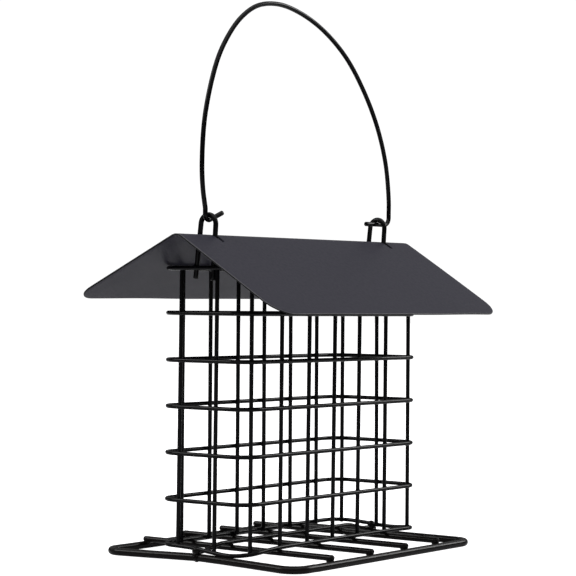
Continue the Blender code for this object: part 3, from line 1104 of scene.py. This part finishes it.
@dataclass
class Roof(SubAssembly):
    """One folded sheet that rests on the top ring's two long wires.

    Its swells are sine waves (waves along the ridge, waves down the slope, phase, share), and its front eave
    droops more towards the right.
    """

    cage: Cage
    sheet: float = 0.0008
    length: float = 0.1708
    slope: float = 0.0648
    pitch: float = math.radians(28.4)
    fold: float = 0.0060
    corner: float = 0.0110
    shift: float = 0.0031
    slot_length: float = 0.0165
    slot_width: float = 0.0026
    slot_x: float = 0.06355
    slot_trim: float = 0.0014
    rim_round: float = 0.00028
    cell: float = 0.0025
    unevenness: float = 0.00012
    swells: tuple[tuple[float, ...], ...] = ((61.0, 0.0, 1.3, 0.6), (113.0, 40.0, 0.4, 0.4))
    droop: float = 0.0006
    droop_middle: float = 0.55

    def settle(self) -> tuple[float, float]:
        """Lay both slopes on the wires.

        Returns:
            (height of the slopes' meeting line over the top ring, the sheet's tilt).
        """
        reach = self.cage.wire / 2 + SEAT + self.sheet
        half = self.cage.width / 2
        tilt = 0.0
        for _ in range(12):
            height = reach / (math.cos(self.pitch) * math.cos(tilt))
            height += half * math.tan(self.pitch) - self.shift * math.tan(tilt)
            tilt = math.atan2(self.shift, height + half / math.tan(self.pitch))
        return height, tilt

    def place(self) -> Matrix:
        """Find the folded sheet's place.

        Returns:
            Where it lies on the cage.
        """
        height, tilt = self.settle()
        drop = Matrix.Translation((0, self.cage.y - self.shift, self.cage.top_z + height))
        return drop @ Matrix.Rotation(tilt, 4, "X")

    def folded(self, x: float, run: float, depth: float) -> Vector:
        """A point of the flat sheet after folding.

        Args:
            x: Along the ridge.
            run: Across the sheet from the fold's middle, along its outer face.
            depth: In from the outer face.

        Returns:
            The point, with the slopes' meeting line at the origin.
        """
        centre = -self.fold / math.cos(self.pitch)
        bend = self.fold * self.pitch
        round_run = max(-bend, min(bend, run))
        turn = round_run / self.fold
        past = run - round_run
        out = self.fold - depth
        y = out * math.sin(turn) + past * math.cos(turn)
        return Vector((x, y, centre + out * math.cos(turn) - past * math.sin(turn)))

    def flat_sheet(self) -> bmesh.types.BMesh:
        """Cut the blank.

        Returns:
            The flat sheet with its corners and rim rounded, in cells that can be folded.
        """
        bm = bmesh.new()
        outline = rounded_rectangle(self.length, self.slope * 2, self.corner, Vector(), steps=10)
        self.extruded(bm, outline, -self.sheet)
        rim = [edge for edge in bm.edges if abs(edge.verts[0].co.z - edge.verts[1].co.z) < self.sheet / 2]
        bmesh.ops.bevel(bm, geom=rim, offset=self.rim_round, segments=3, profile=0.5, affect="EDGES")
        bend, bend_cells = self.fold * self.pitch, 10
        cells_along = int((self.length - self.cell) / 2 / self.cell)
        cells_down = int((self.slope - self.cell / 2 - bend) / self.cell)
        runs = [bend * k / bend_cells for k in range(-bend_cells, bend_cells + 1)]
        runs += [side * (bend + self.cell * k) for k in range(1, cells_down + 1) for side in (1, -1)]
        for k in range(-cells_along, cells_along + 1):
            self.score(bm, ALONG_X * (self.cell * k), ALONG_X)
        for run in runs:
            self.score(bm, ALONG_Y * run, ALONG_Y)
        return bm

    @staticmethod
    def extruded(bm: bmesh.types.BMesh, outline: Sequence[Vector], rise: float) -> None:
        """Add a solid with a flat outline.

        Args:
            bm: The mesh that it goes into.
            outline: The outline's points.
            rise: Its height from there, downward where it is negative.
        """
        base = bm.faces.new([bm.verts.new(point) for point in outline])
        grown = bmesh.ops.extrude_face_region(bm, geom=[base])["geom"]
        moved = [v for v in grown if isinstance(v, bmesh.types.BMVert)]
        bmesh.ops.translate(bm, verts=moved, vec=(0, 0, rise))
        bmesh.ops.recalc_face_normals(bm, faces=bm.faces)

    @staticmethod
    def score(bm: bmesh.types.BMesh, place: Vector, normal: Vector) -> None:
        """Cut the mesh's faces along a plane and keep both sides."""
        geometry = bm.verts[:] + bm.edges[:] + bm.faces[:]
        bmesh.ops.bisect_plane(bm, geom=geometry, dist=1e-7, plane_co=place, plane_no=normal)

    def slot_cutter(self, x: float, place: Matrix) -> bpy.types.Object:
        """Shape a long hole, square to the roof's base.

        Args:
            x: Its place along the ridge.
            place: Where the folded sheet lies.

        Returns:
            An object that fills the hole.
        """
        radius = self.slot_width / 2
        straight = self.slot_length / 2 - radius
        front = self.slot_trim - straight
        outline = arc((0, straight), radius, 0, math.pi, steps=14)
        outline += arc((0, front), radius, math.pi, math.tau, steps=14)
        bm = bmesh.new()
        self.extruded(bm, [Vector((x + px, py, -self.slope)) for px, py in outline], self.slope * 2)
        mesh = bpy.data.meshes.new("slot_cutter")
        bm.to_mesh(mesh)
        bm.free()
        mesh.transform(place)
        return link_mesh("slot_cutter", mesh)

    def wave(self, x: float, run: float) -> float:
        """How far the sheet bends in from its plane.

        Args:
            x: Along the ridge.
            run: Across the sheet, from the fold's middle.

        Returns:
            The depth: slow waves that grow towards the eaves, and the front one's droop.
        """
        outward = (abs(run) / self.slope) ** 2
        swell = sum(share * math.sin(x * along + run * down + phase)
                    for along, down, phase, share in self.swells)
        bent = self.droop * outward * (self.droop_middle + x / self.length) if run < 0 else 0.0
        return self.unevenness * outward * swell + bent

    def inset(self, x: float, run: float) -> float:
        """How far a point of the flat sheet lies inside its outline.

        Args:
            x: Along the ridge.
            run: Across the sheet, from the fold's middle.

        Returns:
            The distance from the outline.
        """
        over_x = abs(x) - (self.length / 2 - self.corner)
        over_run = abs(run) - (self.slope - self.corner)
        outside = math.hypot(max(over_x, 0.0), max(over_run, 0.0))
        return self.corner - outside - min(max(over_x, over_run), 0.0)

    def metal(self, place: Matrix) -> bpy.types.Object:
        """Fold the blank, and mark its cut edge for painted shade and its outer face's rounded rim for a
        painted highlight.

        Args:
            place: Where the folded sheet lies.

        Returns:
            The sheet without its slots.
        """
        near, deep = self.rim_round * 0.98, self.rim_round * 0.9
        bm = self.flat_sheet()
        edge_shade_layer = bm.verts.layers.float.new("rim")
        bevel_highlight_layer = bm.verts.layers.float.new("bevel_highlight")
        for vert in bm.verts:
            x, run, z = vert.co
            at_edge = self.inset(x, run) < near
            # The cut edge is marked for painted shade, and the outer face's rounded rim for a painted
            # highlight.
            vert[edge_shade_layer] = 1.0 if at_edge and -z > deep else 0.0
            vert[bevel_highlight_layer] = 1.0 if at_edge and -z < deep else 0.0
            vert.co = place @ self.folded(x, run, -z + self.wave(x, run))
        bmesh.ops.recalc_face_normals(bm, faces=bm.faces)
        mesh = bpy.data.meshes.new("roof_sheet_metal")
        bm.to_mesh(mesh)
        bm.free()
        return link_mesh("roof_sheet_metal", mesh)

    def pierce(self, roof: bpy.types.Object, cutter: bpy.types.Object) -> None:
        """Cut a slot.

        Args:
            roof: The sheet.
            cutter: An object that fills the slot; it is removed.
        """
        cut = roof.modifiers.new("slot", "BOOLEAN")
        cut.operation = "DIFFERENCE"
        cut.solver = "EXACT"
        cut.object = cutter
        bake(roof, cut)
        bpy.data.objects.remove(cutter)

    def build(self, wires: WireMaker) -> list[Piece]:
        """Cut, fold, pierce and coat the sheet.

        Args:
            wires: Holds the shared node groups.

        Returns:
            The roof.
        """
        coat = ROOF_COAT.material(wires.groups)
        place = self.place()
        roof = self.metal(place)
        for side in (-1, 1):
            self.pierce(roof, self.slot_cutter(self.cage.x + side * self.slot_x, place))
        roof.data.materials.clear()
        roof.data.materials.append(coat)
        roof.data.shade_smooth()
        roof.data.set_sharp_from_angle(angle=math.radians(40))
        return [Piece(roof, Body.ROOF, Slot.ROOF, ("roof_sheet",))]


@dataclass
class Eyelets(SubAssembly):
    """Two arched staples inside the top ring's gable wires, passing through the roof's slots."""

    cage: Cage
    wire: float = 0.0020
    rise: float = 0.0240
    bend: float = 0.0041
    splay: float = 0.0007
    tail: float = 0.0048
    shift: float = 0.0006
    lean: float = math.radians(5)
    coated: float = 0.00224
    bail_wire: float = 0.0019
    axis_slope: float = math.radians(0.9)
    bead: Spans = (0.62, 0.60, 0.34)
    bead_spread: float = 0.8

    @property
    def x(self) -> float:
        """Distance of the eyelets from the cage's middle."""
        return self.cage.length / 2 - self.cage.wire / 2 - SEAT - self.wire / 2

    @property
    def hook_drop(self) -> float:
        """How far a hook's centreline lies under its arch's."""
        return self.wire / 2 + SEAT + self.bail_wire / 2

    @property
    def axis(self) -> Vector:
        """The middle of the line through both hooks, which the bail swings about."""
        rise = self.rise - self.hook_drop
        y = self.cage.y + self.shift - rise * math.sin(self.lean)
        return Vector((self.cage.x, y, self.cage.top_z + rise * math.cos(self.lean)))

    @property
    def lift(self) -> float:
        """How far the axis rises from the middle to the right eyelet."""
        return self.x * math.tan(self.axis_slope)

    def place(self, side: int) -> tuple[Matrix, float]:
        """Stand an eyelet on the top ring.

        Args:
            side: -1 for the left one, 1 for the right one.

        Returns:
            (its place, its rise).
        """
        rise = self.rise + side * self.lift / math.cos(self.lean)
        y = self.axis.y + (rise - self.hook_drop) * math.sin(self.lean)
        foot = Matrix.Translation((self.cage.x + side * self.x, y, self.cage.top_z))
        return foot @ Matrix.Rotation(self.lean, 4, "X"), rise

    def path(self, side: int) -> list[Vector]:
        """Draw an eyelet.

        Args:
            side: -1 for the left one, 1 for the right one.

        Returns:
            Its centreline.
        """
        place, rise = self.place(side)
        foot = self.bend + self.splay
        outline = [(foot, -self.tail)] + arc((0, rise - self.bend), self.bend, 0, math.pi, steps=28)
        return [place @ Vector((0, y, z)) for y, z in outline + [(-foot, -self.tail)]]

    def welds(self) -> list[Bead]:
        """Weld the eyelets.

        Returns:
            Beads between their legs and the top ring's gable wires.
        """
        beads = []
        for side in (-1, 1):
            place, _ = self.place(side)
            out = ALONG_X * side
            for leg in (-1, 1):
                on_leg = place @ Vector((0, leg * (self.bend + self.splay * self.bead_spread), 0))
                weld = on_leg + out * (self.wire / 2 + SEAT / 2)
                beads.append(Bead(weld, out, UP, spread(self.wire, self.bead)))
        return beads

    def build(self, wires: WireMaker) -> list[Piece]:
        """Bend both eyelets and weld them to the top ring.

        Args:
            wires: Bends the wires and holds the shared node groups.

        Returns:
            The eyelets and the beads.
        """
        coat = HANGER_COAT.material(wires.groups)
        pieces = []
        for name, side in (("left_eyelet", -1), ("right_eyelet", 1)):
            staple = wires.wire(f"{name}_wire", self.path(side), self.coated, coat)
            pieces.append(Piece(staple, Body.FEEDER, Slot.HANGER, (name,)))
        beads = set_beads("eyelet_weld_beads", self.welds(), wires.groups, coat, 3.0)
        pieces.append(Piece(beads, Body.FEEDER, Slot.HANGER))
        return pieces


@dataclass
class Bail(SubAssembly):
    """A hoop whose hooked ends pass through the eyelets.

    Its outline's points are shares of its width, from the left, and of its height, from the axis.
    """

    eyelets: Eyelets
    coated: float = 0.002128
    height: float = 0.0972
    left_bend: float = 0.00235
    left_lift: float = math.radians(21)
    left_tail: float = 0.0090
    right_reach: float = 0.0093
    right_bend: float = 0.0036
    right_tail: float = 0.0097
    across: tuple[float, ...] = (
        0.0, -0.0126, -0.0177, -0.0054, 0.0408, 0.0834, 0.159, 0.250, 0.359,
        0.473, 0.607, 0.740, 0.847, 0.928, 0.979, 0.9996, 1.0)
    up: tuple[float, ...] = (
        0.040, 0.128, 0.239, 0.445, 0.662, 0.774, 0.896, 0.974, 1.0,
        0.981, 0.918, 0.805, 0.652, 0.485, 0.311, 0.1345, 0.060)

    def path(self) -> list[Vector]:
        """Draw the bail.

        Returns:
            Its centreline: a short hook, the hoop and a long hook.
        """
        eye, lift = self.eyelets.x, self.eyelets.lift
        left_x, right_x = -eye - self.left_bend, eye + self.right_reach
        down = -math.pi / 2
        left = arc((-eye, self.left_bend - lift), self.left_bend, down + self.left_lift, -math.pi, steps=14)
        run = self.left_tail - self.left_bend * math.sin(self.left_lift)
        tip = (left[0][0] + run, left[0][1] + run * math.tan(self.left_lift))
        right = arc((right_x - self.right_bend, self.right_bend + lift), self.right_bend, 0, down, steps=14)
        right.append((eye - self.right_tail, lift))
        width = right_x - left_x
        hoop = [Vector((left_x + width * a, 0, self.height * u)) for a, u in zip(self.across, self.up)]
        flat = [Vector((x, 0, z)) for x, z in [tip] + left]
        flat += smooth_curve(hoop, steps=10)
        flat += [Vector((x, 0, z)) for x, z in right]
        return [self.eyelets.axis + point for point in flat]

    def build(self, wires: WireMaker) -> list[Piece]:
        """Bend the bail and give it the eyelets' coat, which is there by then.

        Args:
            wires: Bends the wire.

        Returns:
            The bail.
        """
        coat = bpy.data.materials[HANGER_COAT.name]
        hoop = wires.wire("bail_wire", self.path(), self.coated, coat)
        return [Piece(hoop, Body.BAIL, Slot.HANGER, ("bail",))]


# The studio


@dataclass(frozen=True)
class Softbox:
    """A square soft light."""

    name: str
    place: tuple[float, float, float]
    size: float
    power: float


@dataclass
class Studio:
    """A pale floor, a backdrop, soft lights, and the camera."""

    azimuth: float = math.radians(-52.765)
    elevation: float = math.radians(-0.154)
    roll: float = math.radians(0.429)
    focal_pixels: float = 2034.78
    image_side: float = 576.0
    sensor: float = 36.0
    eye: tuple[float, float, float] = (-0.73641, -0.55469, 0.116097)
    floor_half: float = 6.0
    pale: Colour = (0.62, 0.62, 0.63, 1.0)
    white: Colour = (1.0, 1.0, 1.0, 1.0)
    level_light: float = 0.02
    high_light: float = 0.42
    light_rise: tuple[float, float] = (0.05, 0.50)
    backdrop: float = 1.05
    aim: tuple[float, float, float] = (0.0, 0.0, 0.12)
    softboxes: tuple[Softbox, ...] = (
        Softbox("overhead_softbox", (-0.3, -0.2, 2.2), 3.0, 42.0),
        Softbox("right_softbox", (1.60, -0.80, 1.02), 0.7, 13.0),
        Softbox("left_softbox", (-1.20, 1.20, 1.18), 0.7, 13.0))

    def floor(self) -> None:
        """Lay a level floor that glows white for the camera alone."""
        mesh = bpy.data.meshes.new("studio_floor")
        h = self.floor_half
        mesh.from_pydata([(-h, -h, 0), (h, -h, 0), (h, h, 0), (-h, h, 0)], [], [(0, 1, 2, 3)])
        material = bpy.data.materials.new("studio_floor_paper")
        material.use_nodes = True
        shader = material.node_tree.nodes["Principled BSDF"]
        shader.inputs["Base Color"].default_value = self.pale
        shader.inputs["Roughness"].default_value = 0.9
        shader.inputs["Specular IOR Level"].default_value = 0.1
        shader.inputs["Emission Color"].default_value = self.white
        maker = TreeMaker(material.node_tree)
        seen = maker.add("ShaderNodeLightPath").outputs["Is Camera Ray"]
        maker.feed(shader, "Emission Strength", seen)
        mesh.materials.append(material)
        link_mesh("studio_floor", mesh)

    def light(self, box: Softbox) -> None:
        """Hang a softbox that looks at the feeder.

        Args:
            box: Its name, place, size and power.
        """
        lamp = bpy.data.lights.new(box.name, "AREA")
        lamp.size = box.size
        lamp.energy = box.power
        thing = bpy.data.objects.new(box.name, lamp)
        bpy.context.scene.collection.objects.link(thing)
        aim = Vector(self.aim) - Vector(box.place)
        turn = aim.to_track_quat("-Z", "Y").to_matrix().to_4x4()
        thing.matrix_world = Matrix.Translation(box.place) @ turn

    def world(self) -> None:
        """A white backdrop that lights the feeder from above and leaves the level directions dark."""
        world = bpy.data.worlds.new("studio_surround")
        world.use_nodes = True
        maker = TreeMaker(world.node_tree)
        split = maker.add("ShaderNodeSeparateXYZ")
        maker.feed(split, "0", maker.add("ShaderNodeTexCoord").outputs["Generated"])
        low, high = self.light_rise
        rise = maker.add("ShaderNodeMapRange", {"interpolation_type": "SMOOTHSTEP"}, From_Min=low,
                         From_Max=high, To_Min=self.level_light, To_Max=self.high_light)
        maker.feed(rise, "Value", split.outputs["Z"])
        dim = maker.add("ShaderNodeBackground", Color=self.white, Strength=rise.outputs[0])
        bright = maker.add("ShaderNodeBackground", Color=self.white, Strength=self.backdrop)
        mixed = maker.add("ShaderNodeMixShader")
        maker.feed(mixed, "0", maker.add("ShaderNodeLightPath").outputs["Is Camera Ray"])
        maker.feed(mixed, "1", dim.outputs[0])
        maker.feed(mixed, "2", bright.outputs[0])
        maker.feed(world.node_tree.nodes["World Output"], "Surface", mixed.outputs[0])
        bpy.context.scene.world = world

    def camera(self) -> None:
        """The camera at the photograph's angle."""
        az, el = self.azimuth, self.elevation
        back = Vector((math.sin(az) * math.cos(el), -math.cos(az) * math.cos(el), math.sin(el)))
        right = (-back).cross(UP).normalized()
        up = right.cross(-back)
        c, s = math.cos(self.roll), math.sin(self.roll)
        across, upward = c * right + s * up, c * up - s * right
        lens = bpy.data.cameras.new("photo_camera")
        lens.sensor_width = self.sensor
        lens.lens = self.focal_pixels * self.sensor / self.image_side
        lens.clip_start = 0.05
        thing = bpy.data.objects.new("photo_camera", lens)
        bpy.context.scene.collection.objects.link(thing)
        turn = Matrix((across, upward, back)).transposed().to_4x4()
        thing.matrix_world = Matrix.Translation(self.eye) @ turn
        bpy.context.scene.camera = thing

    def set_up(self) -> None:
        """Make everything that isn't the feeder."""
        self.floor()
        for box in self.softboxes:
            self.light(box)
        self.world()
        self.camera()
        bpy.context.scene.view_settings.view_transform = "Standard"


def main() -> None:
    logging.basicConfig(level=logging.INFO, format="%(message)s")
    wires = WireMaker(Groups())
    cage = Cage()
    eyelets = Eyelets(cage)
    for assembly in (cage, Tray(cage), Roof(cage), eyelets, Bail(eyelets)):
        for piece in assembly.build(wires):
            piece.report()
    Studio().set_up()


if __name__ == "__main__":
    main()
